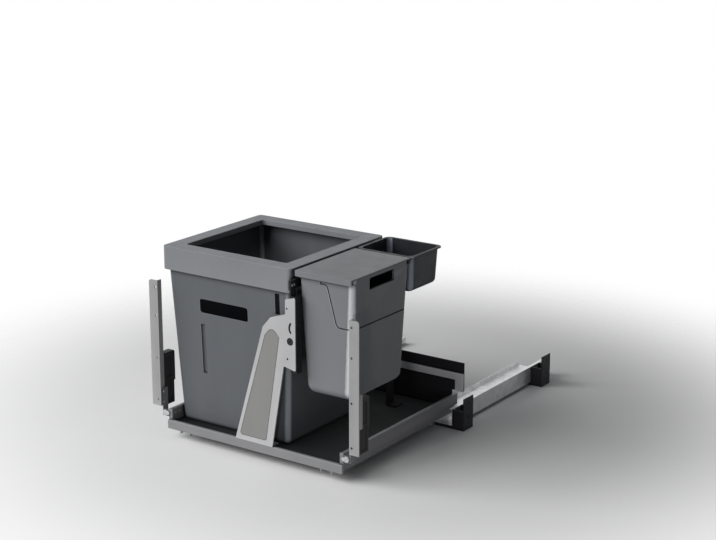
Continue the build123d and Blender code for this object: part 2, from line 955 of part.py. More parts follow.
def cam_adjuster():
    outline = Circle(cam_radius - cam_lobe_radius)
    for spot in PolarLocations(cam_radius - cam_lobe_radius, 4):
        outline += spot * Circle(cam_lobe_radius)
    flange_front = front + cam_front + cam_flange_gap
    disc = front_plate(Pos(cam_x, cam_z) * outline, front, cam_front + cam_flange_gap)
    disc += rod_y(cam_x, flange_front, bar_front - cam_flange_gap, cam_z, cam_radius + cam_flange_out)
    return disc - rod_y(cam_x, front, front + cam_socket_depth, cam_z, cam_socket_r)


# Hanger


def hanger_post():
    y0 = bar_front
    post = block(bar_right, post_right, y0, y0 + post_wall, post_bottom, post_top)
    post += block(bar_right, bar_right + post_wall, y0, post_rear, post_bottom, bar_top)
    post += block(post_right - post_wall, post_right, y0, post_rear, post_bottom, post_top)
    for y, z in post_rivet_places():
        post -= rod_x(bar_right, bar_right + post_wall, y, z, rivet_r)
    return post


def post_rivet_places():
    z = bar_top - bar_height / 2
    first = bar_front + post_rivet_first
    return ((first, z), (first + post_rivet_pitch, z))


def hanger_bar():
    bar = block(bar_x, bar_right, bar_front, bar_rear, bar_top - bar_height, bar_top)
    bar += block(bar_x, bar_right, bar_rear - bar_leg_width, bar_rear, mat_top, bar_top)
    foot = bar_rear - bar_leg_width
    bar += block(bar_x, bar_x + bar_leg_width, foot, bar_rear, mat_top, mat_top + bar_thick)
    for y, z in post_rivet_places():
        bar -= rod_x(bar_x, bar_right, y, z, rivet_r)
    return bar


def hanger_rivets():
    rivets = []
    x1 = bar_right + post_wall
    for y, z in post_rivet_places():
        rivet = rod_x(bar_x, x1, y, z, rivet_r) + rod_x(x1, x1 + rivet_head, y, z, rivet_head_r)
        rivets.append(rivet + rod_x(bar_x - rivet_head, bar_x, y, z, rivet_head_r))
    return Compound(children=rivets)


# Big bin and its collar


def bin_sizes():
    top = shrink((collar_width, bins_depth), bin_inset_top)
    return top, (top[0] - 2 * bin_side_taper, top[1] - 2 * bin_front_taper)


def bin_body(inset, z0):
    top, bottom = bin_sizes()
    low = size_at(top, bottom, mat_top, collar_under, z0)
    return tapered(collar_x, collar_y, shrink(top, inset), shrink(low, inset), bin_corner - inset,
                   z0, collar_under)


def big_bin():
    body = round_foot(bin_body(0, mat_top), bin_foot_radius)
    rim = shrink((collar_width, bins_depth), collar_wall + rim_gap)
    body += upright(collar_x, collar_y, rim[0], rim[1], bin_corner, collar_under - rim_thick, collar_under)
    inside = round_foot(bin_body(bin_wall, mat_top + bin_floor), bin_foot_radius - bin_wall)
    body -= inside - flute_zone(flute_depth + bin_wall, bin_wall)
    return body - flute_zone(flute_depth, 0) - grip_cut() - slit_cut()


def flute_zone(depth, grow):
    """The skin of the bin's front behind its upright flute, down to a depth and grown on each side."""
    x = flute_from_side - bins_half
    half = flute_width / 2 + grow
    top = bins_top - flute_drop + grow
    low = bins_top - flute_drop - flute_height - grow
    skin = bin_body(0, mat_top) - bin_body(depth, mat_top)
    return skin & block(x - half, x + half, bins_front, collar_y, low, top)


def grip_cut():
    x = grip_from_side - bins_half + grip_width / 2
    z = bins_top - grip_drop - grip_height / 2
    outline = Pos(x, z) * RectangleRounded(grip_width, grip_height, grip_corner)
    return front_plate(outline, bins_front, collar_border)


def slit_cut():
    x = collar_right - slit_from_side
    half = slit_width / 2
    top = bins_top - slit_drop
    return block(x - half, x + half, bins_front, bins_front + collar_border, top - slit_height, top)


def bag_collar():
    width = collar_width
    depth = bins_depth
    low = bins_top - collar_height
    collar = upright(collar_x, collar_y, width, depth, collar_corner, low, bins_top)
    collar = fillet(collar.faces().sort_by(Axis.Z)[-1].edges(), collar_wall / 2)
    inside = shrink((width, depth), collar_wall)
    corner = collar_corner - collar_wall
    collar -= upright(collar_x, collar_y, inside[0], inside[1], corner, low, collar_under)
    hole = shrink((width, depth), collar_border)
    ring = shrink(hole, -collar_lip_wall)
    lip_low = bins_top - collar_lip
    collar += upright(collar_x, collar_y, ring[0], ring[1], opening_corner + collar_lip_wall,
                      lip_low, collar_under)
    return collar - upright(collar_x, collar_y, hole[0], hole[1], opening_corner, lip_low, bins_top)


# Caddy


def holder_shape():
    """Centre, top size and bottom size of the caddy's holder."""
    left_x = lid_left + holder_inset_top
    right_x = bins_half - holder_right_inset
    front_y = bins_front + holder_inset_top
    rear_y = bins_front + lid_depth - holder_rear_inset
    x = (left_x + right_x) / 2
    y = (front_y + rear_y) / 2
    top = (right_x - left_x, rear_y - front_y)
    taper = holder_inset_bottom - holder_inset_top
    return x, y, top, shrink(top, taper)


def holder_body(inset, z0, z1):
    x, y, top, bottom = holder_shape()
    sections = []
    for z in (z0, z1):
        size = shrink(size_at(top, bottom, holder_bottom, holder_rim, z), inset)
        corner = holder_corner(z) - inset
        sections.append(Pos(x, y, z) * RectangleRounded(size[0], size[1], corner))
    return loft(sections, ruled=True)


def holder_corner(z):
    """The radius of the holder's upright corners, which grows towards the foot."""
    share = (z - holder_bottom) / (holder_rim - holder_bottom)
    return holder_corner_bottom + (holder_corner_top - holder_corner_bottom) * share


def holder_layer(inset):
    """The caddy's body taken in evenly by an amount, with its foot rounded."""
    layer = holder_body(inset, holder_bottom + inset, holder_rim)
    return round_foot(layer, holder_foot_radius - inset)


def dip_zone(grow):
    """The side of the caddy where its holder is cut low and the bucket shows, from front to rear."""
    lip = lid_x - dip_lip_left
    lip_z = holder_rim - dip_lip_drop
    points = [
        (lip, bins_top),
        (lip, lip_z),
        (lid_x + dip_shoulder_right, lip_z),
        (lid_x + dip_foot_right, dip_z),
        (bins_half, dip_z),
        (bins_half, bins_top),
    ]
    face = make_face(Polyline(*points, close=True))
    foot = face.vertices().group_by(Axis.Y)[0].sort_by(Axis.X)[0]
    face = fillet(foot, dip_radius)
    shoulder = face.vertices().filter_by(lambda v: abs(v.Y - lip_z) < dip_gap).sort_by(Axis.X)[-1]
    face = fillet(shoulder, dip_shoulder_radius)
    return front_plate(offset(face, -grow), bins_front, bins_depth)


def hook(wall_x, y0, y1):
    """A hook over the hanger bar, joined to a container's left wall."""
    low = bar_top + hook_clear
    outer = bar_x - hook_clear - hook_wall
    inner = bar_right + hook_clear
    shape = block(outer, wall_x, y0, y1, low, low + hook_top)
    shape += block(outer, outer + hook_wall, y0, y1, low - hook_drop, low)
    return shape + block(inner, inner + hook_wall, y0, y1, low - hook_inner_drop, low)


def caddy_holder():
    x, y, top, bottom = holder_shape()
    holder = holder_layer(0)
    y0 = bins_front + holder_hook_front
    left = x - top[0] / 2 + holder_wall
    holder += hook(left, y0, y0 + holder_hook_length)
    holder -= holder_layer(holder_wall)
    return holder - dip_zone(0)


def caddy_bucket():
    x, y, top, bottom = holder_shape()
    inset = holder_wall + bucket_gap
    bucket = holder_layer(inset)
    skin = holder_body(0, dip_z, holder_rim) - holder_body(inset, dip_z, holder_rim)
    bucket += skin & dip_zone(dip_gap)
    flange_top = holder_rim + bucket_flange
    upstand_top = bins_top - lid_wall
    bucket += bucket_ring(bucket_flange_out, holder_rim, flange_top)
    bucket += bucket_ring(-bucket_upstand_in, flange_top, upstand_top)
    inside = inset + bucket_wall
    bucket -= holder_layer(inside)
    mouth = shrink(top, inside)
    bucket -= upright(x, y, mouth[0], mouth[1], holder_corner_top - inside, holder_rim, upstand_top)
    return bucket - hand_slot()


def bucket_ring(out, z0, z1):
    """A layer that stands out from the bucket's front, left side and rear, and is flush on the right."""
    x, y, top, bottom = holder_shape()
    return upright(x - out / 2, y, top[0] + out, top[1] + 2 * out, holder_corner_top, z0, z1)


def hand_slot():
    """The hand slot in the bucket's right side, cut through along X."""
    x, y, top, bottom = holder_shape()
    middle = y + hand_behind_middle
    z1 = holder_rim + hand_above_rim
    cut = block(x, bins_half, middle - hand_length / 2, middle + hand_length / 2, z1 - hand_height, z1)
    return fillet(cut.edges().filter_by(Axis.X), hand_corner)


def caddy_lid():
    low = bins_top - lid_skirt
    width = lid_width - holder_right_inset
    x = lid_left + width / 2
    lid = upright(x, lid_y, width, lid_depth, lid_corner, low, bins_top)
    lid = fillet(lid.faces().sort_by(Axis.Z)[-1].edges(), lid_wall / 2)
    inside = shrink((width, lid_depth), lid_wall)
    under = bins_top - lid_wall
    lid -= upright(x, lid_y, inside[0], inside[1], lid_corner - lid_wall, low, under)
    half = inside[1] / 2
    return lid - block(x, bins_half, lid_y - half, lid_y + half, low, under)


# Tub


def tub_body(inset, z0):
    rim = (lid_width, tub_depth)
    top = shrink(rim, tub_rim + inset)
    bottom = shrink(rim, tub_rim + tub_draft + inset)
    low = size_at(top, bottom, tub_bottom, bins_top, z0)
    return tapered(lid_x, tub_y, top, low, tub_corner - inset, z0, bins_top)


def utensil_tub():
    tub = round_foot(tub_body(0, tub_bottom), tub_foot_radius)
    rim = upright(lid_x, tub_y, lid_width, tub_depth, tub_corner, bins_top - tub_rim_thick, bins_top)
    tub += fillet(rim.faces().sort_by(Axis.Z)[-1].edges(), tub_rim_thick / 3)
    y0 = tub_y - tub_depth / 2 + tub_hook_inset
    tub += hook(lid_left + tub_rim + tub_wall, y0, y0 + tub_depth - 2 * tub_hook_inset)
    return tub - round_foot(tub_body(tub_wall, tub_bottom + tub_wall), tub_foot_radius - tub_wall)


def save_runner():
    save_pair("cabinet_rail", cabinet_rail())
    save_pair("middle_rail", middle_rail())
    save_pair("drawer_rail", drawer_rail())
    for name, row, web_base, centre in (
        ("outer", outer_row, rail_base + runner_wall + web_gap, outer_cage_centre()),
        ("inner", inner_row, middle_base + runner_wall + inner_web_gap, inner_cage_centre()),
    ):
        save_pair(name + "_ball_cage", ball_cage(row, web_base, centre))
        save_pair(name + "_balls", Compound(children=balls(row, centre)))
    save_pair("rail_support", rail_support())
    front_start, rear_start = bracket_starts()
    save_pair("front_runner_bracket", runner_bracket(front_start))
    save("rear_runner_brackets", both(runner_bracket(rear_start)))
    save("runner_screws", runner_screws())


def save_closers():
    save_pair("closer_housing", closer_housing())
    save_pair("closer_catch", closer_catch())
    save_pair("damper_rod", damper_rod())
    save("closer_dampers", both(closer_damper()))
    save("closer_springs", both(closer_spring()))
    save("closer_pins", both(closer_pin()))


def save_tray():
    save_pair("side_wall", side_wall())
    save("front_rail", front_rail())
    save("tray_board", tray_board())
    save("tray_screws", tray_screws())
    save("floor_mat", floor_mat())
    save("back_panel", back_panel())
    save("rear_rail", rear_rail())


def save_front():
    save_pair("front_strip", front_strip())
    save_pair("bracket_block", bracket_block())
    save_pair("front_bracket", front_bracket())
    save_pair("lock_lever", lock_lever())
    save("bracket_rivets", bracket_rivets())
    save("tongue_screws", tongue_screws())
    save("support_arm", support_arm())
    save("arm_inlay", arm_inlay())
    save("arm_screws", arm_screws())
    save("cam_adjuster", cam_adjuster())
    save("hanger_post", hanger_post())
    save("hanger_bar", hanger_bar())
    save("hanger_rivets", hanger_rivets())


def save_containers():
    save("big_bin", big_bin())
    save("bag_collar", bag_collar())
    save("caddy_holder", caddy_holder())
    save("caddy_bucket", caddy_bucket())
    save("caddy_lid", caddy_lid())
    save("utensil_tub", utensil_tub())


os.makedirs("parts", exist_ok=True)
save_runner()
save_closers()
save_tray()
save_front()
save_containers()
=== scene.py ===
"""A pull-out waste sorting unit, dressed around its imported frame."""

import math

import bpy
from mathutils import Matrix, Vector

bl_info = {
    "name": "Waste sorting unit",
    "version": (1, 0, 0),
    "blender": (4, 5, 0),
    "location": "View3D > Sidebar > Waste unit",
    "description": "Builds the looks of a pull-out waste sorting unit around its packed frame",
    "category": "Object",
}

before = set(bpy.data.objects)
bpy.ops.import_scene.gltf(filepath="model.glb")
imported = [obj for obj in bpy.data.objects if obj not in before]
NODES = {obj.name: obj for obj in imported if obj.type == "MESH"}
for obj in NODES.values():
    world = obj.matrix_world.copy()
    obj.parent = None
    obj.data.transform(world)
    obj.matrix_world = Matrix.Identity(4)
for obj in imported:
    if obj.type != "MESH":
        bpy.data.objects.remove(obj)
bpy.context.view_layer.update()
SIDES = ("left", "right")

# Sockets of Blender's Mix node, which has one set for each kind of value
MIX_FACTOR, MIX_A, MIX_B, MIX_RESULT = 0, 6, 7, 2

# Pointiness of a flat spot's edge and of a sharp edge
BLUNT, SHARP = 0.52, 0.6

# Product of a normal's X and Y where the painted highlight on a corner that looks front right
# begins, and where it is full
CORNER_BEGINS, CORNER_FULL = -0.12, -0.4

# The tessellated flat faces of the solids are joined below this angle before the edges are rounded
FLAT_ANGLE = math.radians(0.5)
WELD_DISTANCE = 1e-6


# Sizes and colours that a user may change


def length(name, description, default, low=0.0):
    return bpy.props.FloatProperty(
        name=name, description=description, default=default, min=low,
        subtype="DISTANCE", unit="LENGTH", precision=5,
    )


def colour(name, description, default):
    return bpy.props.FloatVectorProperty(
        name=name, description=description, default=default, size=3,
        min=0.0, max=1.0, subtype="COLOR",
    )


def strength(name, description, default):
    return bpy.props.FloatProperty(name=name, description=description, default=default, min=0.0)


class WasteUnitEdges(bpy.types.PropertyGroup):
    """How far the edges of each kind of piece are rounded."""

    sheet_edge: length("Sheet edge", "Rounding of cut sheet metal", 0.0003)
    plastic_edge: length("Plastic edge", "Rounding of moulded plastic", 0.0006)
    lip_edge: length("Lip edge", "Rounding of the collar's and the lid's edges", 0.0013)
    board_edge: length("Board edge", "Rounding of the board's edge band", 0.0005)
    bracket_edge: length("Bracket edge", "Rounding of the thick black brackets", 0.0008)


class WasteUnitColours(bpy.types.PropertyGroup):
    """The colours of the finishes."""

    bin: colour("Bin", "Colour of the big bin", (0.11, 0.117, 0.126))
    collar: colour("Collar", "Colour of the bag collar", (0.2, 0.208, 0.22))
    caddy: colour("Caddy", "Colour of the caddy", (0.185, 0.192, 0.202))
    lid: colour("Lid", "Colour of the caddy's lid", (0.178, 0.185, 0.193))
    tub: colour("Tub", "Colour of the utensil tub", (0.016, 0.018, 0.021))
    strip: colour("Strips", "Colour of the coated front strips", (0.275, 0.275, 0.273))
    arm: colour("Arm", "Colour of the coated support arm", (0.4, 0.4, 0.405))
    inlay: colour("Inlay", "Colour of the arm's inlaid cover", (0.215, 0.213, 0.209))
    cam: colour("Cam", "Colour of the cam", (0.028, 0.028, 0.03))
    wall: colour("Side wall", "Colour of the tray's side walls", (0.165, 0.165, 0.173))
    rail: colour("Front rail", "Colour of the tray's front rail", (0.19, 0.19, 0.196))
    rear: colour("Rear rail", "Colour of the tray's rear rail", (0.6, 0.6, 0.61))
    zinc: colour("Zinc", "Colour of zinc-plated steel", (0.6, 0.61, 0.62))
    black_coat: colour("Black coat", "Colour of black powder coat", (0.011, 0.011, 0.013))
    black_plastic: colour("Black plastic", "Colour of black mouldings", (0.035, 0.035, 0.038))
    mat: colour("Mat", "Colour of the rubber mat", (0.007, 0.008, 0.009))
    board: colour("Board", "Colour of the board's facing", (0.06, 0.06, 0.064))


class WasteUnitStage(bpy.types.PropertyGroup):
    """Where the camera stands and how light the stage is."""

    camera_place: bpy.props.FloatVectorProperty(
        name="Camera", description="Place of the camera", default=(2.0797, -3.0282, 1.3415),
        size=3, subtype="TRANSLATION", unit="LENGTH",
    )
    camera_turn: bpy.props.FloatProperty(
        name="Turn", description="Turn of the camera to the left of the depth axis",
        default=math.radians(34.754), subtype="ANGLE", unit="ROTATION",
    )
    camera_tilt: bpy.props.FloatProperty(
        name="Tilt", description="Downward tilt of the camera",
        default=math.radians(15.501), subtype="ANGLE", unit="ROTATION",
    )
    lens: bpy.props.FloatProperty(
        name="Lens", description="Focal length in millimetres", default=84.27, min=10.0,
        unit="CAMERA",
    )
    floor_colour: colour("Floor", "Colour of the floor", (0.82, 0.82, 0.82))
    floor_gap: length("Floor gap", "How far the floor lies below the feet", 0.0004)
    fade_from: length("Fade from", "Where the floor starts to fade into the white", 0.58)
    fade_to: length("Fade to", "Where the floor has gone", 1.3)
    world_light: strength("World light", "Strength of the soft light from all around", 0.07)
    key_light: strength("Key light", "Power of the light at the front left, in watts", 226.0)
    top_light: strength("Top light", "Power of the light from above, in watts", 3.0)
    edge_light: strength("Edge light", "Power of the low light at the front right, in watts", 6.0)
    back_light: strength("Back light", "Power of the light behind, in watts", 10.0)


def settings():
    return bpy.context.scene


# Materials


class Nodes:
    """A material's node tree, with short calls to add and join nodes."""

    def __init__(self, name):
        self.material = bpy.data.materials.new(name)
        self.material.use_nodes = True
        self.tree = self.material.node_tree
        self.tree.nodes.clear()
        self.output = self.add("ShaderNodeOutputMaterial")
        self.shader = self.add("ShaderNodeBsdfPrincipled")
        self.join(self.shader, "BSDF", self.output, "Surface")
        self.place = self.add("ShaderNodeTexCoord")

    def add(self, kind, **values):
        node = self.tree.nodes.new(kind)
        for key, value in values.items():
            setattr(node, key, value)
        return node

    def join(self, a, out, b, into):
        self.tree.links.new(a.outputs[out], b.inputs[into])

    def noise(self, scale, detail=3.0, roughness=0.5, stretch=(1, 1, 1)):
        mapping = self.add("ShaderNodeMapping")
        mapping.inputs["Scale"].default_value = stretch
        self.join(self.place, "Object", mapping, "Vector")
        node = self.add("ShaderNodeTexNoise")
        node.inputs["Scale"].default_value = scale
        node.inputs["Detail"].default_value = detail
        node.inputs["Roughness"].default_value = roughness
        self.join(mapping, "Vector", node, "Vector")
        return node

    def spread(self, node, out, low, high, source=(0.3, 0.7)):
        """Map a value from one range to another."""
        mapped = self.add("ShaderNodeMapRange")
        mapped.inputs["From Min"].default_value = source[0]
        mapped.inputs["From Max"].default_value = source[1]
        mapped.inputs["To Min"].default_value = low
        mapped.inputs["To Max"].default_value = high
        self.join(node, out, mapped, "Value")
        return mapped

    def tint(self, base, dark, light, factor, out="Result"):
        """Vary a colour between a darker and a lighter shade of itself."""
        mix = self.add("ShaderNodeMix", data_type="RGBA")
        mix.inputs[MIX_A].default_value = (*[c * dark for c in base], 1)
        mix.inputs[MIX_B].default_value = (*[min(1, c * light) for c in base], 1)
        self.join(factor, out, mix, MIX_FACTOR)
        return mix

    def colour_from(self, mix):
        self.join(mix, MIX_RESULT, self.shader, "Base Color")

    def bump(self, height, out, strength, distance, under=None):
        node = self.add("ShaderNodeBump")
        node.inputs["Strength"].default_value = strength
        node.inputs["Distance"].default_value = distance
        self.join(height, out, node, "Height")
        if under is not None:
            self.join(under, "Normal", node, "Normal")
        return node

    def normal_from(self, bump):
        self.join(bump, "Normal", self.shader, "Normal")

    def edges(self):
        """How far a spot is a convex edge, from 0 to 1."""
        geometry = self.add("ShaderNodeNewGeometry")
        return self.spread(geometry, "Pointiness", 0, 1, (BLUNT, SHARP))

    def corners(self):
        """How far a spot lies on an upright corner that looks front right or back left; the mask
        of a painted highlight.
        """
        way = self.add("ShaderNodeSeparateXYZ")
        self.join(self.place, "Normal", way, 0)
        both = self.add("ShaderNodeMath", operation="MULTIPLY")
        self.join(way, "X", both, 0)
        self.join(way, "Y", both, 1)
        return self.spread(both, "Value", 0, 1, (CORNER_BEGINS, CORNER_FULL))

    def paint_hollow_shade(self, mix, reach, low):
        """Painted shade: darken the colour in grooves and inside corners, where shade falls."""
        open_sky = self.add("ShaderNodeAmbientOcclusion", samples=8)
        open_sky.inputs["Distance"].default_value = reach
        shade = self.spread(open_sky, "AO", low, 1, (0.6, 1))
        over = self.add("ShaderNodeMix", data_type="RGBA", blend_type="MULTIPLY")
        over.inputs[MIX_FACTOR].default_value = 1
        self.join(mix, MIX_RESULT, over, MIX_A)
        self.join(shade, "Result", over, MIX_B)
        return over

    def lighten(self, mix, base, light, edge, amount):
        """Lighten the colour where a mask is: edge wear on the edges, a painted highlight on the
        corners.
        """
        over = self.add("ShaderNodeMix", data_type="RGBA")
        over.inputs[MIX_B].default_value = (*[min(1, c * light) for c in base], 1)
        self.join(mix, MIX_RESULT, over, MIX_A)
        scaled = self.add("ShaderNodeMath", operation="MULTIPLY")
        scaled.inputs[1].default_value = amount
        self.join(edge, "Result", scaled, 0)
        self.join(scaled, "Value", over, MIX_FACTOR)
        return over


def moulded_plastic(name, base, roughness=0.48, grain=0.3, corner_highlight=0.0):
    """Grained moulded plastic with a faint flow pattern, edge wear, a painted highlight on the
    upright corners and painted shade in grooves and inside corners.
    """
    n = Nodes(name)
    flow = n.noise(7, 4, 0.6, (1, 1, 0.35))
    mix = n.tint(base, 0.93, 1.07, n.spread(flow, "Fac", 0, 1))
    wear_and_highlight = n.lighten(mix, base, 1.5, n.edges(), 0.5)
    # Painted highlight: lighter colour on the upright corners that look front right and back left
    if corner_highlight:
        wear_and_highlight = n.lighten(wear_and_highlight, base, corner_highlight, n.corners(), 0.95)
    # Painted shade: darker colour in grooves and inside corners
    n.colour_from(n.paint_hollow_shade(wear_and_highlight, 0.014, 0.35))
    n.join(n.spread(n.noise(45, 3), "Fac", roughness - 0.06, roughness + 0.06), "Result",
           n.shader, "Roughness")
    pebble = n.noise(1800, 2, 0.6)
    ripple = n.bump(flow, "Fac", 0.05, 0.0004)
    n.normal_from(n.bump(pebble, "Fac", grain, 0.00006, ripple))
    n.shader.inputs["Specular IOR Level"].default_value = 0.14
    return n.material


def coated_metal(name, base, roughness=0.5, texture=0.5, gloss=0.5):
    """Powder coat with a fine orange-peel texture."""
    n = Nodes(name)
    cloud = n.noise(18, 3)
    mix = n.tint(base, 0.94, 1.05, n.spread(cloud, "Fac", 0, 1))
    # Edge wear, then painted shade in grooves and inside corners
    n.colour_from(n.paint_hollow_shade(n.lighten(mix, base, 1.35, n.edges(), 0.6), 0.006, 0.2))
    n.join(n.spread(n.noise(300, 2), "Fac", roughness - 0.07, roughness + 0.08), "Result",
           n.shader, "Roughness")
    n.normal_from(n.bump(n.noise(1400, 3, 0.55), "Fac", texture, 0.00008))
    n.shader.inputs["Specular IOR Level"].default_value = gloss
    return n.material


def zinc_plate(name, base, roughness=0.36, grain=(1, 1, 1)):
    """Zinc-plated steel with rolling marks and cloudy patches."""
    n = Nodes(name)
    patches = n.noise(60, 4, 0.6)
    mix = n.tint(base, 0.82, 1.08, n.spread(patches, "Fac", 0, 1))
    n.colour_from(mix)
    n.shader.inputs["Metallic"].default_value = 0.85
    rolled = n.noise(900, 2, 0.5, grain)
    n.join(n.spread(rolled, "Fac", roughness - 0.08, roughness + 0.12), "Result",
           n.shader, "Roughness")
    n.normal_from(n.bump(rolled, "Fac", 0.18, 0.00005))
    return n.material


def polished_steel(name, base=(0.7, 0.71, 0.73)):
    n = Nodes(name)
    n.colour_from(n.tint(base, 0.92, 1.05, n.spread(n.noise(400, 2), "Fac", 0, 1)))
    n.shader.inputs["Metallic"].default_value = 1.0
    n.join(n.spread(n.noise(250, 2), "Fac", 0.1, 0.2), "Result", n.shader, "Roughness")
    return n.material


def rubber_mat(name, base):
    """A rubber mat with a dusty, pebbled face."""
    n = Nodes(name)
    dust = n.noise(9, 5, 0.65)
    n.colour_from(n.tint(base, 0.8, 1.5, n.spread(dust, "Fac", 0, 1)))
    n.join(n.spread(dust, "Fac", 0.62, 0.8), "Result", n.shader, "Roughness")
    n.shader.inputs["Specular IOR Level"].default_value = 0.25
    cells = n.add("ShaderNodeTexVoronoi", feature="SMOOTH_F1")
    cells.inputs["Scale"].default_value = 700
    n.join(n.place, "Object", cells, "Vector")
    n.normal_from(n.bump(cells, "Distance", 0.5, 0.0002))
    return n.material


def faced_board(name, base):
    """Melamine-faced chipboard with a fine pore."""
    n = Nodes(name)
    pores = n.noise(500, 3, 0.6, (1, 0.15, 1))
    n.colour_from(n.tint(base, 0.85, 1.12, n.spread(pores, "Fac", 0, 1)))
    n.join(n.spread(n.noise(30), "Fac", 0.45, 0.58), "Result", n.shader, "Roughness")
    n.normal_from(n.bump(pores, "Fac", 0.2, 0.0001))
    return n.material


def build_finishes():
    c = settings().waste_colours
    return {
        # Each rubbed factor is the strength of a painted highlight on the upright corners
        "bin": moulded_plastic("bin plastic", c.bin, corner_highlight=3.2),
        "collar": moulded_plastic("collar plastic", c.collar, 0.52, corner_highlight=1.25),
        "caddy": moulded_plastic("caddy plastic", c.caddy, 0.47, corner_highlight=4.3),
        "lid": moulded_plastic("lid plastic", c.lid, 0.54, corner_highlight=1.5),
        "tub": moulded_plastic("tub plastic", c.tub, 0.46, corner_highlight=22),
        "strip": coated_metal("strip coat", c.strip, 0.5, 0.6),
        "arm": coated_metal("arm coat", c.arm, 0.52, 0.6),
        "cam": moulded_plastic("cam plastic", c.cam, 0.42, 0.3),
        "inlay": moulded_plastic("inlay plastic", c.inlay, 0.5, 0.5),
        "wall": coated_metal("side wall coat", c.wall, 0.42, 0.3),
        "rail": coated_metal("front rail coat", c.rail, 0.42, 0.3),
        "rear": coated_metal("rear rail coat", c.rear, 0.45, 0.3),
        "zinc": zinc_plate("zinc plate", c.zinc, 0.38, (1, 0.05, 1)),
        "bright": zinc_plate("bright zinc", c.zinc, 0.32),
        "balls": polished_steel("bearing steel"),
        "black": coated_metal("black coat", c.black_coat, 0.55, 0.4, 0.2),
        "black_plastic": moulded_plastic("black plastic", c.black_plastic, 0.5, 0.5),
        "mat": rubber_mat("rubber mat", c.mat),
        "board": faced_board("board facing", c.board),
    }


FINISHES = {}


def finish(name):
    if not FINISHES:
        FINISHES.update(build_finishes())
    return FINISHES[name]


def dress(nodes, name, edge=0.0, angle=35):
    """Give CAD nodes a finish, and soften their edges for the eye."""
    for node in nodes:
        if node not in NODES:
            raise ValueError("The frame has no node " + node)
        obj = NODES[node]
        obj.data.materials.clear()
        obj.data.materials.append(finish(name))
        if not edge:
            continue
        weld = obj.modifiers.new("weld", "WELD")
        weld.merge_threshold = WELD_DISTANCE
        flat = obj.modifiers.new("flat faces", "DECIMATE")
        flat.decimate_type = "DISSOLVE"
        flat.angle_limit = FLAT_ANGLE
        bevel = obj.modifiers.new("edge", "BEVEL")
        bevel.width = edge
        bevel.segments = 2
        bevel.limit_method = "ANGLE"
        bevel.angle_limit = math.radians(angle)
        bevel.use_clamp_overlap = True
        bevel.harden_normals = False
        obj.modifiers.new("normals", "WEIGHTED_NORMAL").keep_sharp = True


def pair(name):
    return [name + "_" + side for side in SIDES]


# Operators


class WASTEUNIT_OT_runners(bpy.types.Operator):
    """Finish the runners, their supports and brackets"""

    bl_idname = "waste_unit.runners"
    bl_label = "Runners"

    def execute(self, context):
        edges = settings().waste_edges
        dress(pair("cabinet_rail") + pair("drawer_rail") + pair("rail_support"), "zinc",
              edges.sheet_edge)
        dress(pair("middle_rail"), "zinc")
        dress(pair("outer_balls") + pair("inner_balls"), "balls")
        dress(pair("outer_ball_cage") + pair("inner_ball_cage"), "black_plastic")
        dress(pair("front_runner_bracket") + ["rear_runner_brackets"], "black", edges.bracket_edge)
        return {"FINISHED"}


class WASTEUNIT_OT_closers(bpy.types.Operator):
    """Finish the self-closing units"""

    bl_idname = "waste_unit.closers"
    bl_label = "Self-closing units"

    def execute(self, context):
        edges = settings().waste_edges
        dress(pair("closer_housing") + pair("closer_catch"), "black_plastic",
              edges.plastic_edge / 2)
        dress(["closer_dampers"], "black_plastic")
        dress(["closer_springs", "closer_pins"] + pair("damper_rod"), "bright")
        return {"FINISHED"}


class WASTEUNIT_OT_tray(bpy.types.Operator):
    """Finish the tray, its walls, mat and back"""

    bl_idname = "waste_unit.tray"
    bl_label = "Tray"

    def execute(self, context):
        edges = settings().waste_edges
        dress(pair("side_wall"), "wall", edges.sheet_edge)
        dress(["front_rail"], "rail", edges.sheet_edge)
        dress(["rear_rail"], "rear", edges.sheet_edge)
        dress(["tray_board"], "board", edges.board_edge)
        dress(["floor_mat"], "mat", edges.board_edge)
        dress(["back_panel"], "black", edges.board_edge)
        return {"FINISHED"}


class WASTEUNIT_OT_front_fittings(bpy.types.Operator):
    """Finish the strips, brackets, levers and rivets that hold the cabinet front"""

    bl_idname = "waste_unit.front_fittings"
    bl_label = "Front fittings"

    def execute(self, context):
        edges = settings().waste_edges
        dress(pair("front_strip"), "strip", edges.sheet_edge)
        dress(pair("bracket_block"), "black_plastic", edges.bracket_edge)
        dress(pair("front_bracket"), "wall", edges.sheet_edge)
        dress(pair("lock_lever"), "bright", edges.sheet_edge)
        dress(["bracket_rivets", "tongue_screws", "tray_screws", "runner_screws", "arm_screws",
               "hanger_rivets"], "bright", edges.sheet_edge)
        return {"FINISHED"}


class WASTEUNIT_OT_support_arm(bpy.types.Operator):
    """Finish the support arm, its inlaid cover, the cam and the hanger"""

    bl_idname = "waste_unit.support_arm"
    bl_label = "Support arm"

    def execute(self, context):
        edges = settings().waste_edges
        dress(["support_arm"], "arm", edges.sheet_edge)
        dress(["arm_inlay"], "inlay", edges.sheet_edge)
        dress(["cam_adjuster"], "cam", edges.sheet_edge)
        dress(["hanger_post", "hanger_bar"], "black", edges.sheet_edge)
        return {"FINISHED"}


class WASTEUNIT_OT_big_bin(bpy.types.Operator):
    """Finish the big bin and its bag collar"""

    bl_idname = "waste_unit.big_bin"
    bl_label = "Big bin"

    def execute(self, context):
        edges = settings().waste_edges
        dress(["big_bin"], "bin", edges.plastic_edge)
        dress(["bag_collar"], "collar", edges.lip_edge)
        return {"FINISHED"}


class WASTEUNIT_OT_small_containers(bpy.types.Operator):
    """Finish the caddy, its lid and the tub"""

    bl_idname = "waste_unit.small_containers"
    bl_label = "Small containers"

    def execute(self, context):
        edges = settings().waste_edges
        dress(["caddy_holder", "caddy_bucket"], "caddy", edges.plastic_edge)
        dress(["caddy_lid"], "lid", edges.lip_edge)
        dress(["utensil_tub"], "tub", edges.plastic_edge)
        return {"FINISHED"}


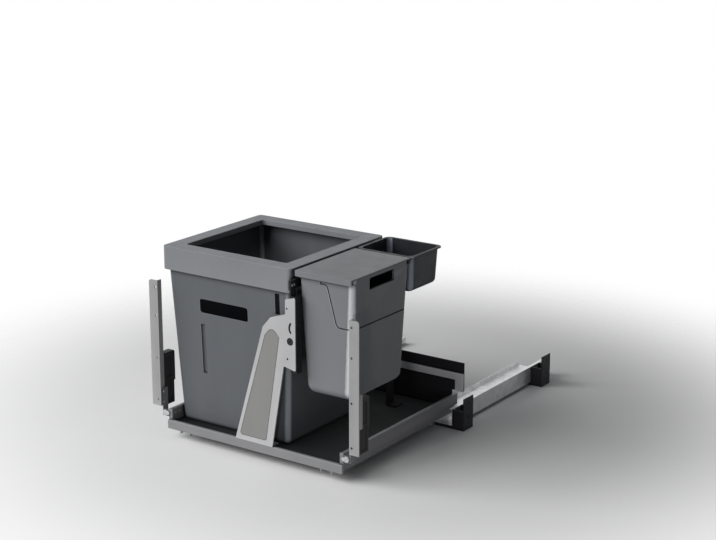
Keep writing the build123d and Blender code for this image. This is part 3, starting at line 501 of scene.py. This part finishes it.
def floor_surface(base, near, far):
    """A matt floor that fades out into the white around it, from a near to a far distance."""
    n = Nodes("studio floor")
    n.colour_from(n.tint(base, 0.995, 1.005, n.spread(n.noise(3), "Fac", 0, 1)))
    n.shader.inputs["Roughness"].default_value = 0.9
    n.shader.inputs["Specular IOR Level"].default_value = 0.1
    distance = n.add("ShaderNodeVectorMath", operation="LENGTH")
    n.join(n.place, "Object", distance, 0)
    fade = n.spread(distance, "Value", 0, 1, (near, far))
    fade.interpolation_type = "SMOOTHSTEP"
    clear = n.add("ShaderNodeBsdfTransparent")
    mix = n.add("ShaderNodeMixShader")
    n.join(fade, "Result", mix, 0)
    n.join(n.shader, "BSDF", mix, 1)
    n.join(clear, "BSDF", mix, 2)
    n.join(mix, "Shader", n.output, "Surface")
    return n.material


# The floor's width for each metre of its fade, so that its edge never shows
FLOOR_REACH = 2.2

# Each light's name, place, target, and width and height, in metres
LIGHTS = (
    ("key_light", (-1.9, -3.1, 2.6), (0, -0.2, 0.2), (4.4, 3.0)),
    ("top_light", (-0.4, -0.2, 3.0), (0, -0.1, 0.2), (3.0, 3.0)),
    ("edge_light", (1.0, -2.4, 0.16), (0.15, -0.4, 0.2), (0.14, 0.28)),
    ("back_light", (0.1, 3.3, 1.8), (0, 0.2, 0.2), (2.4, 2.0)),
)
SOFT_WHITE = (0.92, 0.96, 1.0, 1)
WHITE = (1, 1, 1, 1)


def area_light(name, place, target, size, power):
    light = bpy.data.lights.new(name, "AREA")
    light.shape = "RECTANGLE"
    light.size, light.size_y = size
    light.energy = power
    obj = bpy.data.objects.new(name, light)
    bpy.context.scene.collection.objects.link(obj)
    obj.visible_camera = False
    obj.location = place
    obj.rotation_euler = (Vector(target) - Vector(place)).to_track_quat("-Z", "Y").to_euler()
    return obj


def set_world():
    """A dim soft world that is white to the camera and in reflections."""
    world = bpy.data.worlds.new("studio")
    bpy.context.scene.world = world
    world.use_nodes = True
    tree = world.node_tree
    tree.nodes.clear()
    soft = tree.nodes.new("ShaderNodeBackground")
    soft.inputs["Color"].default_value = SOFT_WHITE
    soft.inputs["Strength"].default_value = settings().waste_stage.world_light
    white = tree.nodes.new("ShaderNodeBackground")
    white.inputs["Color"].default_value = WHITE
    white.inputs["Strength"].default_value = 1.0
    path = tree.nodes.new("ShaderNodeLightPath")
    seen = path.outputs["Is Camera Ray"]
    for ray in ("Is Glossy Ray", "Is Transmission Ray"):
        either = tree.nodes.new("ShaderNodeMath")
        either.operation = "MAXIMUM"
        tree.links.new(seen, either.inputs[0])
        tree.links.new(path.outputs[ray], either.inputs[1])
        seen = either.outputs[0]
    mix = tree.nodes.new("ShaderNodeMixShader")
    tree.links.new(seen, mix.inputs[0])
    tree.links.new(soft.outputs[0], mix.inputs[1])
    tree.links.new(white.outputs[0], mix.inputs[2])
    out = tree.nodes.new("ShaderNodeOutputWorld")
    tree.links.new(mix.outputs[0], out.inputs[0])


class WASTEUNIT_OT_stage(bpy.types.Operator):
    """Set up the floor, the lights and the camera"""

    bl_idname = "waste_unit.stage"
    bl_label = "Stage"

    def execute(self, context):
        stage = settings().waste_stage
        bpy.ops.mesh.primitive_plane_add(
            size=FLOOR_REACH * stage.fade_to, location=(0, 0, -stage.floor_gap))
        floor = bpy.context.object
        floor.name = "studio_floor"
        floor.data.materials.append(
            floor_surface(stage.floor_colour, stage.fade_from, stage.fade_to))
        set_world()
        for name, place, target, size in LIGHTS:
            area_light(name.replace("_", " "), place, target, size, getattr(stage, name))
        camera = bpy.data.cameras.new("camera")
        camera.lens = stage.lens
        camera.sensor_width = 36
        camera.sensor_fit = "HORIZONTAL"
        camera.clip_start, camera.clip_end = 0.1, 60
        obj = bpy.data.objects.new("camera", camera)
        bpy.context.scene.collection.objects.link(obj)
        obj.location = stage.camera_place
        obj.rotation_euler = (math.pi / 2 - stage.camera_tilt, 0, stage.camera_turn)
        bpy.context.scene.camera = obj
        bpy.context.scene.view_settings.view_transform = "Standard"
        return {"FINISHED"}


class WASTEUNIT_PT_sidebar(bpy.types.Panel):
    """Lists the steps that build the unit"""

    bl_idname = "WASTEUNIT_PT_sidebar"
    bl_label = "Waste sorting unit"
    bl_space_type = "VIEW_3D"
    bl_region_type = "UI"
    bl_category = "Waste unit"

    def draw(self, context):
        for step in STEPS:
            self.layout.operator(step.bl_idname)
        for group in (settings().waste_edges, settings().waste_colours, settings().waste_stage):
            box = self.layout.box()
            for name in group.bl_rna.properties.keys():
                if name not in ("rna_type", "name"):
                    box.prop(group, name)


STEPS = (
    WASTEUNIT_OT_runners,
    WASTEUNIT_OT_closers,
    WASTEUNIT_OT_tray,
    WASTEUNIT_OT_front_fittings,
    WASTEUNIT_OT_support_arm,
    WASTEUNIT_OT_big_bin,
    WASTEUNIT_OT_small_containers,
    WASTEUNIT_OT_stage,
)
GROUPS = (
    ("waste_edges", WasteUnitEdges),
    ("waste_colours", WasteUnitColours),
    ("waste_stage", WasteUnitStage),
)


def register():
    for name, group in GROUPS:
        bpy.utils.register_class(group)
        setattr(bpy.types.Scene, name, bpy.props.PointerProperty(type=group))
    for step in STEPS:
        bpy.utils.register_class(step)
    bpy.utils.register_class(WASTEUNIT_PT_sidebar)


def unregister():
    bpy.utils.unregister_class(WASTEUNIT_PT_sidebar)
    for step in reversed(STEPS):
        bpy.utils.unregister_class(step)
    for name, group in reversed(GROUPS):
        delattr(bpy.types.Scene, name)
        bpy.utils.unregister_class(group)


def main():
    register()
    for step in STEPS:
        family, action = step.bl_idname.split(".")
        getattr(getattr(bpy.ops, family), action)()


if __name__ == "__main__":
    main()
